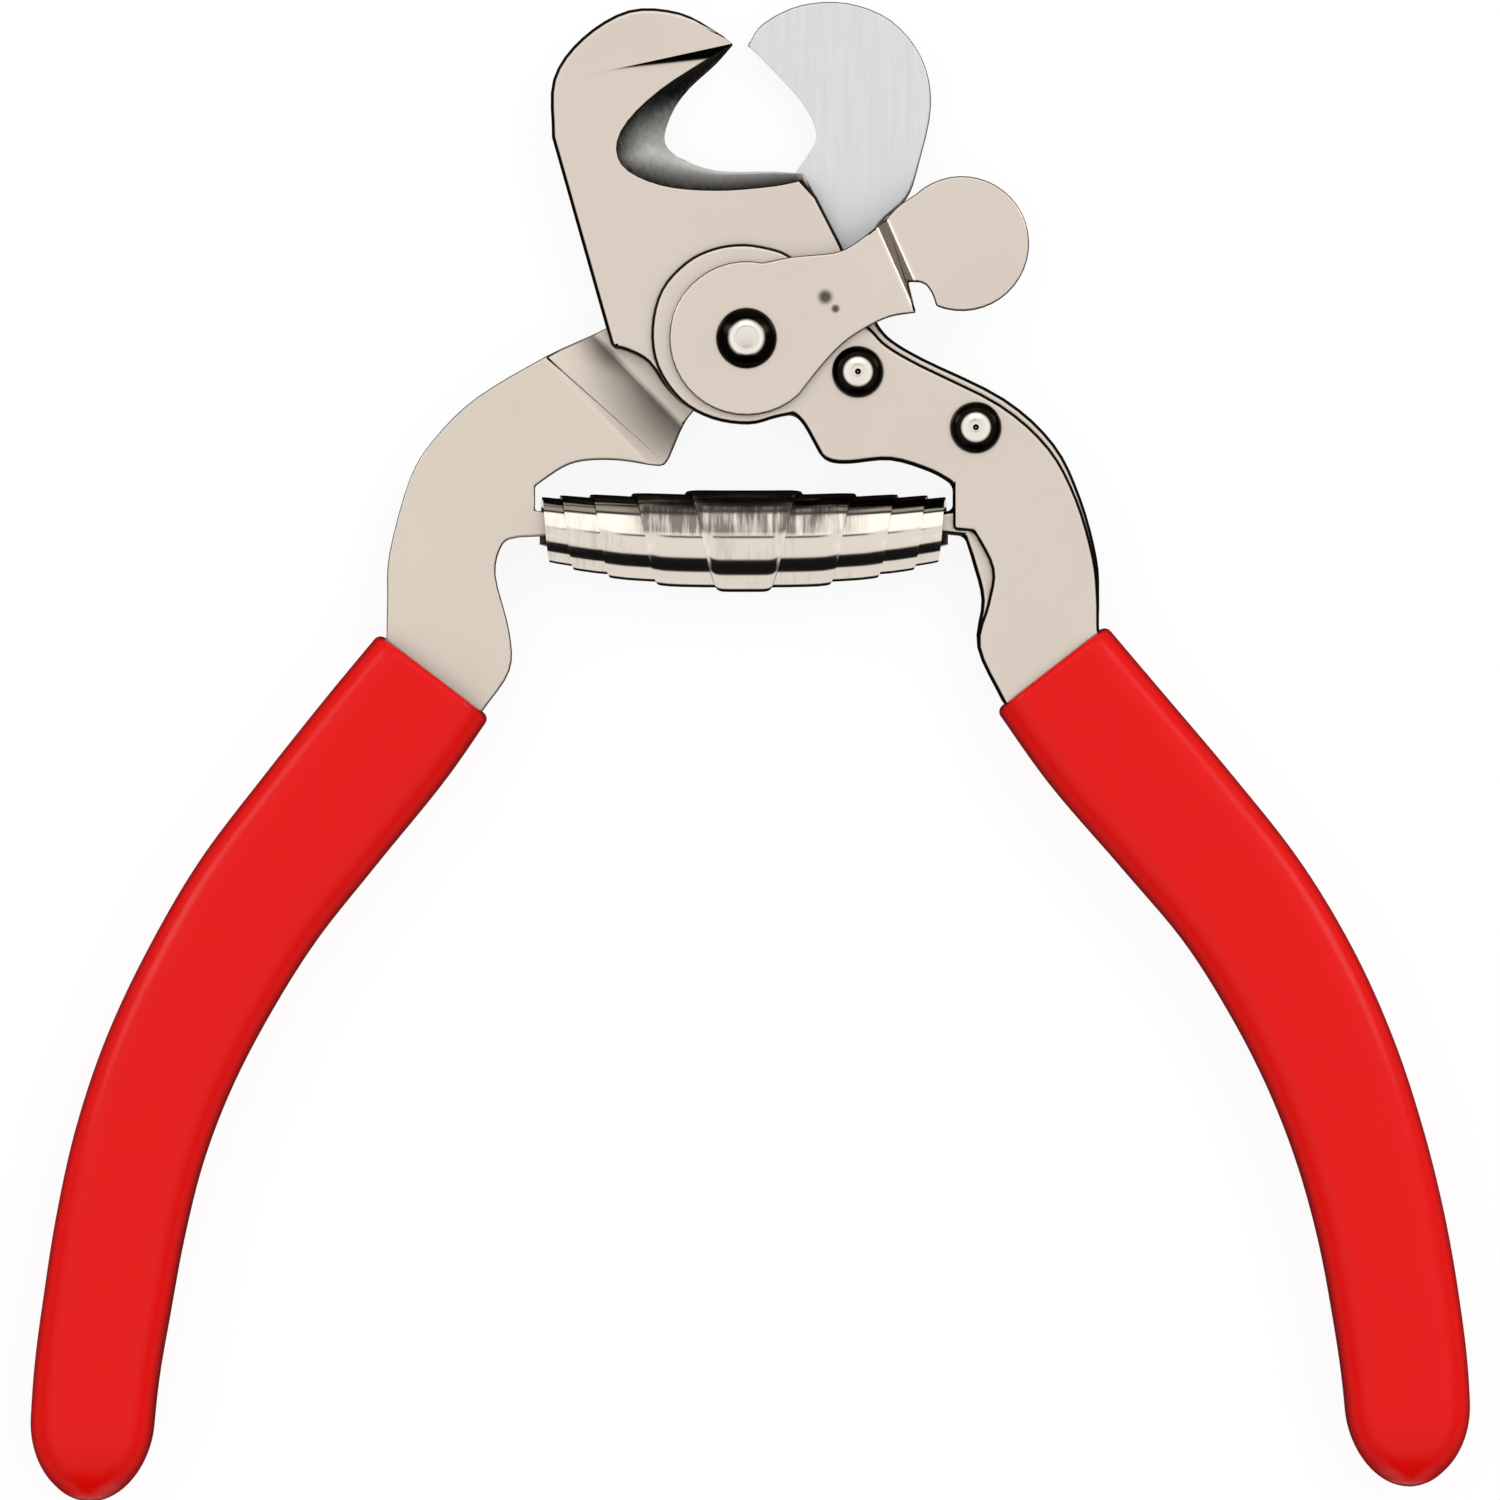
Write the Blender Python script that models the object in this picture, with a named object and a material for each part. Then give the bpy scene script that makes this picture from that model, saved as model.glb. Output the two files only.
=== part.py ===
"""Plier-style nail clipper: two pressed-steel levers on one pivot, a swinging stop plate, a volute
spring between the handles and two dipped grips.

The tool lies flat. The origin is the centre of the pivot rivet's flat rear head, +Z points out of the
front face, +Y towards the jaws and -Y towards the ends of the grips. Sizes below are in millimetres.
"""

import math

import bmesh
import bpy
import numpy as np
from mathutils import Vector

MM = 0.001

# Plates, as (back, front) heights above the table.
REAR_LEVER_Z = (1.3, 3.8)
HOOK_LEVER_Z = (3.9, 6.4)
DOUBLER_Z = (6.5, 8.0)
WASHER_Z = (8.1, 8.35)
STOP_Z = (8.45, 9.65)

# The rear lever's handle steps forward into the hook lever's plane, along this direction.
HANDLE_STEP_DIRECTION = (-0.722, -0.692)
HANDLE_STEP_START = 9.9
HANDLE_STEP_END = 14.8
HANDLE_STEP_RISE = HOOK_LEVER_Z[0] - REAR_LEVER_Z[0]

# The stop plate's disc steps back towards the jaws, along this direction.
STOP_DIRECTION = (0.915, 0.404)
STOP_STEP_START = 15.3
STOP_STEP_END = 16.6
STOP_STEP_DROP = 1.6
STOP_DISC_CENTRE = (20.1, 8.9)
STOP_DISC_RADIUS = 6.3
STOP_HUB_RADIUS = 7.2

# Rivets.
PIVOT_SHAFT_RADIUS = 2.0
PIVOT_HOLE_RADIUS = 2.07
PIVOT_REAR_HEAD = (4.2, 1.2)
PIVOT_FRONT_HEAD = (2.85, 1.5)
HANDLE_RIVETS = {"handle_rivet_upper": (10.4, -3.1), "handle_rivet_lower": (21.4, -8.3)}
HANDLE_SHAFT_RADIUS = 1.4
HANDLE_HOLE_RADIUS = 1.6
HANDLE_DOME = (2.45, 1.4)
WASHER_RADIUS = 5.6

# Volute spring: a stepped sleeve, as (distance from the middle, outer radius) at each step.
SPRING_STEPS = ((5.6, 4.9), (10.4, 4.5), (13.7, 4.1), (16.5, 3.7), (19.2, 3.3))
SPRING_WALL = 0.5
SPRING_CENTRE = (-0.25, -18.7)
SPRING_AXIS_Z = 5.15
SPRING_BOW = 0.9
SPRING_SIDES = 24

# Grips: each row is a point on the centre line and the half width there.
RIGHT_GRIP = (
    (28.5, -30.7, 6.45), (33.8, -37.5, 6.8), (40.2, -45.0, 6.75), (46.3, -52.5, 6.6), (51.0, -60.1, 6.5),
    (54.6, -67.6, 6.3), (57.3, -75.1, 6.1), (59.3, -82.6, 6.0), (60.7, -90.1, 5.95), (61.7, -97.7, 5.85),
    (62.2, -107.3, 5.6),
)
LEFT_GRIP = (
    (-29.2, -31.4, 6.45), (-33.7, -37.3, 6.75), (-39.9, -45.0, 6.7), (-45.7, -52.5, 6.6),
    (-50.3, -60.1, 6.45), (-54.0, -67.6, 6.3), (-56.7, -75.1, 6.15), (-58.5, -82.6, 6.05),
    (-59.8, -90.1, 5.95), (-60.9, -97.7, 5.8), (-61.7, -108.7, 5.6),
)
GRIP_HALF_THICKNESS = 4.8
GRIP_MIDDLE_Z = 5.05
GRIP_CORNER_RADIUS = 3.2
GRIP_END_LENGTH = 7.5
GRIP_RING_CORNER_POINTS = 5
GRIP_RINGS = 18
TANG_LENGTH = 46.0
TANG_HALF_WIDTH = 4.0
TANG_MOUTH_HALF_WIDTH = 5.6
TANG_NECK_LENGTH = 6.0
POCKET_GAP = 0.35

ROUND_SIDES = 48
SAMPLES_PER_SPAN = 4

STEEL = ((0.66, 0.60, 0.53), 0.32, 1.0)
GROUND_STEEL = ((0.70, 0.70, 0.71), 0.38, 1.0)
POLISHED_STEEL = ((0.74, 0.73, 0.70), 0.12, 1.0)
SPRING_STEEL = ((0.62, 0.58, 0.53), 0.2, 1.0)
RED_PLASTISOL = ((0.80, 0.015, 0.008), 0.3, 0.0)


def clear_scene():
    """Remove every object that is in the file already."""
    for item in list(bpy.data.objects):
        bpy.data.objects.remove(item, do_unlink=True)


def make_material(name, look):
    """Return a Principled material from a (colour, roughness, metallic) look."""
    colour, roughness, metallic = look
    material = bpy.data.materials.new(name)
    material.use_nodes = True
    shader = material.node_tree.nodes["Principled BSDF"]
    shader.inputs["Base Color"].default_value = (*colour, 1.0)
    shader.inputs["Roughness"].default_value = roughness
    shader.inputs["Metallic"].default_value = metallic
    return material


def add_object(name, mesh_builder, look, parent=None):
    """Turn a bmesh in millimetres into a linked, smooth-shaded object in metres."""
    bmesh.ops.scale(mesh_builder, vec=(MM, MM, MM), verts=mesh_builder.verts)
    bmesh.ops.recalc_face_normals(mesh_builder, faces=mesh_builder.faces)
    mesh = bpy.data.meshes.new(name)
    mesh_builder.to_mesh(mesh)
    mesh_builder.free()
    mesh.materials.append(make_material(name, look))
    mesh.shade_smooth()
    mesh.set_sharp_from_angle(angle=math.radians(30))
    item = bpy.data.objects.new(name, mesh)
    bpy.context.scene.collection.objects.link(item)
    item.parent = parent
    return item


def smooth(points):
    """Return points along a smooth curve through the given ones, both ends included."""
    given = np.array(points, dtype=float)
    if len(given) < 3:
        return given
    padded = np.vstack([2 * given[0] - given[1], given, 2 * given[-1] - given[-2]])
    t = np.linspace(0, 1, SAMPLES_PER_SPAN, endpoint=False)[:, None]
    spans = []
    for a, b, c, d in zip(padded, padded[1:], padded[2:], padded[3:]):
        spans.append(0.5 * (2 * b + (c - a) * t + (2 * a - 5 * b + 4 * c - d) * t**2
                            + (3 * b - a - 3 * c + d) * t**3))
    spans.append(given[-1:])
    return np.vstack(spans)


def outline(*runs):
    """Join smooth runs into one closed outline. Each run starts where the last one ends, at a corner."""
    return np.vstack([smooth(run)[:-1] for run in runs])


def circle(centre, radius, sides=ROUND_SIDES):
    """Return the points of a circle, anticlockwise."""
    angles = np.linspace(0, 2 * np.pi, sides, endpoint=False)
    return np.column_stack([centre[0] + radius * np.cos(angles), centre[1] + radius * np.sin(angles)])


def arc(centre, radius, start_degrees, end_degrees, steps=10):
    """Return the points of an arc from one angle to another, ends included."""
    angles = np.radians(np.linspace(start_degrees, end_degrees, steps + 1))
    return np.column_stack([centre[0] + radius * np.cos(angles), centre[1] + radius * np.sin(angles)])


def prism(back, front, heights):
    """Return a closed bmesh between a back outline and a matching front outline."""
    solid = bmesh.new()
    low = [solid.verts.new((x, y, heights[0])) for x, y in back]
    high = [solid.verts.new((x, y, heights[1])) for x, y in front]
    count = len(low)
    for i in range(count):
        j = (i + 1) % count
        solid.faces.new((low[i], low[j], high[j], high[i]))
    caps = [solid.faces.new(low[::-1]), solid.faces.new(high)]
    solid.normal_update()
    bmesh.ops.triangulate(solid, faces=caps)
    return solid


def step_plate(solid, direction, start, end, rise):
    """Bend a plate out of its plane by a ramp between two distances along a direction."""
    along = Vector((direction[0], direction[1], 0)).normalized()
    for distance in (start, end):
        geometry = solid.verts[:] + solid.edges[:] + solid.faces[:]
        bmesh.ops.bisect_plane(solid, geom=geometry, dist=1e-5, plane_co=along * distance, plane_no=along)
    for vertex in solid.verts:
        share = (vertex.co.dot(along) - start) / (end - start)
        vertex.co.z += rise * min(max(share, 0.0), 1.0)


def drill(target, centre, radius):
    """Cut a round hole through a plate with a Boolean modifier."""
    cutter_mesh = prism(circle(centre, radius), circle(centre, radius), (-5.0, 20.0))
    cutter = add_object(f"{target.name}_drill_{len(target.modifiers)}", cutter_mesh, STEEL)
    cutter.hide_render = True
    cutter.display_type = "WIRE"
    cut = target.modifiers.new("drill", "BOOLEAN")
    cut.operation = "DIFFERENCE"
    cut.object = cutter


def revolve(profile, centre=(0.0, 0.0), sides=ROUND_SIDES):
    """Turn a closed (radius, height) profile about a vertical axis; a radius of 0 closes on the axis."""
    solid = bmesh.new()
    rings = []
    for radius, height in profile:
        if radius == 0:
            rings.append([solid.verts.new((*centre, height))])
        else:
            rings.append([solid.verts.new((x, y, height)) for x, y in circle(centre, radius, sides)])
    open_ended = len(rings[0]) == 1
    pairs = zip(rings, rings[1:]) if open_ended else zip(rings, rings[1:] + rings[:1])
    for lower, upper in pairs:
        for i in range(sides):
            j = (i + 1) % sides
            corners = [lower[i % len(lower)], lower[j % len(lower)], upper[j % len(upper)],
                       upper[i % len(upper)]]
            solid.faces.new(list(dict.fromkeys(corners)))
    return solid


def side_line(centre_line, half_width, start, end, side):
    """Return points beside a grip's centre line, between two distances along it."""
    points = smooth([row[:2] for row in centre_line])
    lengths = np.concatenate([[0], np.cumsum(np.linalg.norm(np.diff(points, axis=0), axis=1))])
    where = np.linspace(start, end, 5)
    x = np.interp(where, lengths, points[:, 0])
    y = np.interp(where, lengths, points[:, 1])
    run = np.gradient(np.column_stack([x, y]), axis=0)
    run /= np.linalg.norm(run, axis=1)[:, None]
    beside = np.column_stack([-run[:, 1], run[:, 0]]) * side
    return np.column_stack([x, y]) + beside * half_width


def tang_run(centre_line, side):
    """Return the outline of a lever's tang inside its grip, down one side and back up the other."""
    down = side_line(centre_line, TANG_HALF_WIDTH, TANG_NECK_LENGTH, TANG_LENGTH, side)
    back = side_line(centre_line, TANG_HALF_WIDTH, TANG_NECK_LENGTH, TANG_LENGTH, -side)[::-1]
    return down, back


def mouth_corner(centre_line, side):
    """Return where a lever's edge enters the grip's mouth, on one side."""
    return side_line(centre_line, TANG_MOUTH_HALF_WIDTH, 0.0, 1.0, side)[0]


def right_handle_runs(inner_shoulder, outer_edge):
    """Return the outline runs of the right handle, from the pivot's underside round to its outer edge."""
    down, back = tang_run(RIGHT_GRIP, -1)
    inner_corner = mouth_corner(RIGHT_GRIP, -1)
    outer_corner = mouth_corner(RIGHT_GRIP, 1)
    return [
        [(4.4, -7.0), (5.4, -8.1), (7.0, -11.0)],
        [(7.0, -11.0), (8.0, -11.5), (9.7, -11.6), (13.5, -11.3), (17.2, -12.4), (19.3, -13.6)],
        inner_shoulder + [tuple(inner_corner)],
        [inner_corner, down[0]],
        down,
        [down[-1], back[0]],
        back,
        [back[-1], outer_corner],
        [tuple(outer_corner), *outer_edge],
    ]


def make_hook_lever(parent):
    """Make the hooked jaw, its hub and the right handle, ground to an edge inside the hook."""
    back_of_hook = [(-1.3, 27.6), (-2.7, 28.7), (-6.3, 30.6), (-11.0, 30.8), (-15.4, 28.2), (-18.1, 24.3),
                    (-18.2, 18.9)]
    lower_corner = [(-12.6, -0.8), (-11.2, -1.1), (-9.2, -2.2), (-7.4, -4.7), (-5.0, -6.6), (-0.6, -7.9),
                    (2.7, -7.3), (4.4, -7.0)]
    shoulder = [(20.4, -18.4), (21.2, -21.0), (22.0, -24.4), (21.6, -28.8)]
    outer_edge = [(33.0, -24.3), (32.8, -20.5), (31.3, -14.9), (28.8, -9.8), (24.1, -5.5), (16.6, -1.8),
                  (13.7, -0.1), (12.4, 1.2)]
    chin_side = [(12.4, 1.2), (8.8, 9.0), (6.6, 13.3), (5.3, 14.9)]
    front_edge = [(5.3, 14.9), (2.4, 14.3), (-2.9, 13.9), (-8.1, 14.4), (-11.7, 16.3), (-11.8, 19.4),
                  (-8.1, 23.3), (-1.3, 27.6)]
    ground_edge = [(5.3, 15.6), (2.4, 15.8), (-2.9, 15.9), (-6.5, 17.3), (-7.6, 19.2), (-6.0, 22.8),
                   (-2.9, 25.8), (-1.3, 27.6)]
    handle = right_handle_runs(shoulder, outer_edge)
    spring_tongue = [(19.3, -13.6), (19.3, -16.0), (16.4, -16.3), (16.4, -18.0), (20.4, -18.4)]
    tongue_runs = [spring_tongue[i:i + 2] for i in range(len(spring_tongue) - 1)]
    shared = [back_of_hook, [(-18.2, 18.9), (-12.6, -0.8)], lower_corner, *handle[:2], *tongue_runs,
              *handle[2:]]
    right_side = [chin_side[:2], chin_side[1:3], chin_side[2:]]
    raised_side = [right_side[0], right_side[1], [right_side[1][-1], (5.3, 15.6)]]
    front = outline(*shared, *right_side, front_edge)
    back = outline(*shared, *raised_side, ground_edge)
    lever = add_object("hook_lever", prism(back, front, HOOK_LEVER_Z), STEEL, parent)
    drill(lever, (0, 0), PIVOT_HOLE_RADIUS)
    for centre in HANDLE_RIVETS.values():
        drill(lever, centre, HANDLE_HOLE_RADIUS)
    return lever


def make_doubler(parent):
    """Make the front plate that doubles the hub and the right handle."""
    shoulder = [(19.3, -13.6), (19.3, -17.9)]
    corner = [(19.3, -17.9), (21.2, -18.0)]
    inner = [(21.2, -18.0), (22.9, -21.5), (22.5, -24.7), (21.6, -28.8)]
    outer_edge = [(32.9, -24.3), (32.5, -20.5), (30.9, -15.0), (28.3, -10.2), (23.7, -6.1), (16.3, -2.4),
                  (13.2, -0.6), (11.8, 0.8)]
    handle = right_handle_runs(inner, outer_edge)
    hub = [(11.8, 0.8), (9.0, 3.4), (6.0, 6.4), (4.2, 7.7), (2.7, 8.4), (-0.2, 8.9), (-3.1, 8.5),
           (-5.7, 7.2), (-8.0, 4.6), (-8.9, 1.0), (-8.4, -2.6), (-6.2, -5.8), (-3.2, -7.5), (0.2, -8.0),
           (2.7, -7.4), (4.4, -7.0)]
    shape = outline(*handle[:2], shoulder, corner, *handle[2:], hub)
    doubler = add_object("handle_doubler", prism(shape, shape, DOUBLER_Z), STEEL, parent)
    drill(doubler, (0, 0), PIVOT_HOLE_RADIUS)
    for centre in HANDLE_RIVETS.values():
        drill(doubler, centre, HANDLE_HOLE_RADIUS)
    return doubler


def make_rear_lever(parent):
    """Make the blade, its hub and the left handle, which steps forward beside the hub."""
    down, back_up = tang_run(LEFT_GRIP, 1)
    inner_corner = mouth_corner(LEFT_GRIP, 1)
    outer_corner = mouth_corner(LEFT_GRIP, -1)
    blade_back = [(0.1, 27.6), (1.6, 29.7), (5.1, 31.4), (9.4, 31.6), (13.5, 30.0), (16.4, 26.5),
                  (17.3, 22.0), (16.1, 16.3), (15.0, 13.3), (12.5, 10.9), (10.2, 7.0), (9.0, 2.5),
                  (8.0, -1.8), (5.8, -5.0), (2.6, -7.2), (-1.0, -7.6), (-4.8, -6.4)]
    edge_front = [(2.0, 11.8), (3.6, 14.5), (5.3, 16.8), (6.5, 19.2), (5.1, 22.3), (1.5, 26.2), (0.1, 27.6)]
    edge_back = [(2.0, 11.8), (6.2, 13.6), (8.9, 16.2), (9.9, 19.4), (8.6, 23.4), (5.2, 26.8), (0.1, 27.6)]
    shared = [
        blade_back,
        [(-4.8, -6.4), (-5.9, -7.9), (-7.3, -11.2)],
        [(-7.3, -11.2), (-8.2, -11.8), (-11.8, -11.3), (-14.9, -11.3), (-17.1, -11.9), (-19.8, -13.7)],
        [(-19.8, -13.7), (-19.8, -16.0)],
        [(-19.8, -16.0), (-17.1, -16.3)],
        [(-17.1, -16.3), (-17.1, -18.3)],
        [(-17.1, -18.3), (-21.4, -18.5)],
        [(-21.4, -18.5), (-22.8, -19.1), (-23.5, -22.0), (-22.2, -27.3), (-22.2, -31.0),
         tuple(inner_corner)],
        [inner_corner, down[0]],
        down,
        [down[-1], back_up[0]],
        back_up,
        [back_up[-1], outer_corner],
        [tuple(outer_corner), (-33.6, -24.3), (-33.4, -20.0), (-31.5, -13.1), (-29.2, -9.3), (-25.3, -5.5),
         (-18.8, -1.6), (-13.8, 0.8)],
        [(-13.8, 0.8), (-9.6, 3.0), (-7.0, 5.2), (-3.6, 7.6), (2.0, 11.8)],
    ]
    front = outline(*shared, edge_front)
    back = outline(*shared, edge_back)
    solid = prism(back, front, REAR_LEVER_Z)
    step_plate(solid, HANDLE_STEP_DIRECTION, HANDLE_STEP_START, HANDLE_STEP_END, HANDLE_STEP_RISE)
    lever = add_object("rear_lever", solid, STEEL, parent)
    drill(lever, (0, 0), PIVOT_HOLE_RADIUS)
    return lever


def make_stop_plate(parent):
    """Make the swinging stop: a hub, an arm with a cut end, a narrow neck and a disc one step lower."""
    disc = arc(STOP_DISC_CENTRE, STOP_DISC_RADIUS, 133.0, -112.0, 30)
    hub = arc((0, 0), STOP_HUB_RADIUS, -47.3, -282.0, 28)
    arm_top = [hub[-1], (4.3, 7.6), (8.2, 8.0), (10.0, 8.8), (12.0, 10.3)]
    neck_top = [(12.0, 10.3), (13.1, 11.3), (14.3, 12.5), disc[0]]
    notch = [disc[-1], (17.3, 4.3), (16.5, 5.2), (15.1, 5.3)]
    arm_end = [(15.1, 5.3), (15.8, 2.4)]
    arm_bottom = [(15.8, 2.4), (13.4, 2.0), (11.2, 1.0), (9.0, -0.5), (7.0, -2.6), hub[0]]
    upper = outline(arm_top, neck_top)
    lower = outline(notch, arm_end, arm_bottom)
    shape = np.vstack([upper, disc[:-1], lower, hub[:-1]])
    solid = prism(shape, shape, STOP_Z)
    step_plate(solid, STOP_DIRECTION, STOP_STEP_START, STOP_STEP_END, -STOP_STEP_DROP)
    stop = add_object("stop_plate", solid, STEEL, parent)
    drill(stop, (0, 0), PIVOT_HOLE_RADIUS)
    return stop


def make_friction_washer(parent):
    """Make the thin washer that holds the stop plate where it is put."""
    profile = [(PIVOT_HOLE_RADIUS, WASHER_Z[0]), (WASHER_RADIUS, WASHER_Z[0]), (WASHER_RADIUS, WASHER_Z[1]),
               (PIVOT_HOLE_RADIUS, WASHER_Z[1])]
    return add_object("friction_washer", revolve(profile), POLISHED_STEEL, parent)


def dome_profile(radius, base, height, rim=0.35):
    """Return (radius, height) points of a domed head from its rim up to the axis."""
    angles = np.radians(np.linspace(0, 90, 8))
    return [(radius, base), *[(radius * math.cos(a), base + rim + (height - rim) * math.sin(a))
                              for a in angles[:-1]], (0, base + height)]


def make_pivot_rivet(parent):
    """Make the pivot: a flat rear head, the shaft and a flat-topped front head."""
    rear_radius, rear_height = PIVOT_REAR_HEAD
    head_radius, head_height = PIVOT_FRONT_HEAD
    head_base = STOP_Z[1] + 0.1
    profile = [
        (0, 0), (rear_radius - 0.4, 0), (rear_radius, 0.4), (rear_radius, rear_height),
        (PIVOT_SHAFT_RADIUS, rear_height), (PIVOT_SHAFT_RADIUS, head_base), (head_radius, head_base),
        (head_radius, head_base + 0.5), (head_radius - 0.4, head_base + 1.1),
        (head_radius - 1.3, head_base + head_height), (0, head_base + head_height),
    ]
    return add_object("pivot_rivet", revolve(profile), POLISHED_STEEL, parent)


def make_handle_rivet(name, centre, parent):
    """Make a domed rivet whose tail ends flush in the hook lever's back face."""
    radius, height = HANDLE_DOME
    head_base = DOUBLER_Z[1] + 0.1
    tail = HOOK_LEVER_Z[0]
    profile = [(0, tail), (HANDLE_SHAFT_RADIUS, tail), (HANDLE_SHAFT_RADIUS, head_base),
               *dome_profile(radius, head_base, height)]
    return add_object(name, revolve(profile, centre, 32), POLISHED_STEEL, parent)


def make_spring(parent):
    """Make the volute spring as one stepped sleeve, widest in the middle and bowed away from the pivot."""
    right = []
    inner = []
    start = 0.0
    for distance, radius in SPRING_STEPS:
        right += [(start, radius), (distance, radius)]
        start = distance
    for distance, radius in reversed(SPRING_STEPS):
        inner.append((distance, min(radius - SPRING_WALL, SPRING_STEPS[-1][1] - SPRING_WALL + 1.0)))
    half = right[1:] + inner
    profile = half + [(-x, r) for x, r in reversed(half)]
    solid = bmesh.new()
    angles = np.linspace(0, 2 * np.pi, SPRING_SIDES, endpoint=False)
    half_length = SPRING_STEPS[-1][0]
    rings = []
    for along, radius in profile:
        bow = SPRING_BOW * (along / half_length) ** 2
        rings.append([
            solid.verts.new((SPRING_CENTRE[0] + along, SPRING_CENTRE[1] + bow + radius * math.cos(a),
                             SPRING_AXIS_Z + radius * math.sin(a)))
            for a in angles
        ])
    for ring, following in zip(rings, rings[1:] + rings[:1]):
        for i in range(SPRING_SIDES):
            j = (i + 1) % SPRING_SIDES
            solid.faces.new((ring[i], ring[j], following[j], following[i]))
    return add_object("volute_spring", solid, SPRING_STEEL, parent)


def rounded_section(half_width, half_height, corner):
    """Return a rounded rectangle as (across, up) points, anticlockwise."""
    corner = min(corner, half_width * 0.98, half_height * 0.98)
    points = []
    for quarter, (sign_x, sign_y) in enumerate(((1, 1), (-1, 1), (-1, -1), (1, -1))):
        centre = (sign_x * (half_width - corner), sign_y * (half_height - corner))
        points.extend(arc(centre, corner, 90 * quarter, 90 * quarter + 90, GRIP_RING_CORNER_POINTS))
    return np.array(points)


def make_grip(name, centre_line, tang_heights, parent):
    """Make a dipped grip: a rounded sleeve along the handle, closed at its end, around the tang's pocket."""
    rows = smooth(centre_line)
    lengths = np.concatenate([[0], np.cumsum(np.linalg.norm(np.diff(rows[:, :2], axis=0), axis=1))])
    total = lengths[-1]

    def station(distance):
        """Return the centre, the sideways direction and the half width at a distance from the mouth."""
        x, y, half = [np.interp(distance, lengths, rows[:, k]) for k in range(3)]
        ahead = [np.interp(min(distance + 0.5, total), lengths, rows[:, k]) for k in range(2)]
        behind = [np.interp(max(distance - 0.5, 0.0), lengths, rows[:, k]) for k in range(2)]
        run = np.subtract(ahead, behind)
        run /= np.linalg.norm(run)
        return np.array([x, y]), np.array([-run[1], run[0]]), half

    def ring(distance, half_width, low, high, corner):
        """Return one ring's vertices, square to the centre line."""
        centre, across, _ = station(distance)
        middle = (low + high) / 2
        section = rounded_section(half_width, (high - low) / 2, corner)
        return [solid.verts.new((*(centre + across * u), middle + v)) for u, v in section]

    solid = bmesh.new()
    low, high = GRIP_MIDDLE_Z - GRIP_HALF_THICKNESS, GRIP_MIDDLE_Z + GRIP_HALF_THICKNESS
    rings = []
    pocket_low, pocket_high = tang_heights[0] - POCKET_GAP, tang_heights[1] + POCKET_GAP
    pocket_end = TANG_LENGTH + POCKET_GAP
    tang_half = TANG_HALF_WIDTH + POCKET_GAP
    mouth_half = TANG_MOUTH_HALF_WIDTH + POCKET_GAP
    pocket = [(pocket_end, tang_half), (TANG_LENGTH * 0.75, tang_half), (TANG_LENGTH * 0.5, tang_half),
              (TANG_LENGTH * 0.3, tang_half), (TANG_NECK_LENGTH + 1.0, tang_half), (0.0, mouth_half)]
    for distance, half in pocket:
        rings.append(ring(distance, half, pocket_low, pocket_high, 0.4))
    for distance in np.linspace(0, total - GRIP_END_LENGTH, GRIP_RINGS):
        half = station(distance)[2]
        rings.append(ring(distance, half, low, high, GRIP_CORNER_RADIUS))
    for angle in np.radians((20, 38, 54, 68, 80)):
        distance = total - GRIP_END_LENGTH * (1 - math.sin(angle))
        half = station(distance)[2] * math.cos(angle)
        thin = GRIP_HALF_THICKNESS * (0.45 + 0.55 * math.cos(angle))
        rings.append(ring(distance, half, GRIP_MIDDLE_Z - thin, GRIP_MIDDLE_Z + thin, GRIP_CORNER_RADIUS))
    count = len(rings[0])
    for first, second in zip(rings, rings[1:]):
        for i in range(count):
            j = (i + 1) % count
            solid.faces.new((first[i], first[j], second[j], second[i]))
    solid.faces.new(rings[0])
    solid.faces.new(rings[-1])
    return add_object(name, solid, RED_PLASTISOL, parent)


def main():
    """Build every piece, grouped under an empty for each body that moves."""
    clear_scene()
    groups = {}
    for name in ("frame_group", "rear_lever_group", "stop_group", "spring_group"):
        groups[name] = bpy.data.objects.new(name, None)
        bpy.context.scene.collection.objects.link(groups[name])
    make_hook_lever(groups["frame_group"])
    make_doubler(groups["frame_group"])
    make_pivot_rivet(groups["frame_group"])
    for name, centre in HANDLE_RIVETS.items():
        make_handle_rivet(name, centre, groups["frame_group"])
    make_grip("right_grip", RIGHT_GRIP, (HOOK_LEVER_Z[0], DOUBLER_Z[1]), groups["frame_group"])
    make_rear_lever(groups["rear_lever_group"])
    make_grip("left_grip", LEFT_GRIP, HOOK_LEVER_Z, groups["rear_lever_group"])
    make_friction_washer(groups["frame_group"])
    make_stop_plate(groups["stop_group"])
    make_spring(groups["spring_group"])


main()
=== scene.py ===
"""Looks of a plier-style nail clipper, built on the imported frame.

Lengths in the classes are in millimetres in the row frame: the pivot is at x = y = 0, +Y points to the
jaws and +Z out of the front face. They turn into metres where a mesh is filled or a texture is scaled.
"""

import logging
import math
from dataclasses import dataclass
from enum import Enum
from typing import Any, Sequence

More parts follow.
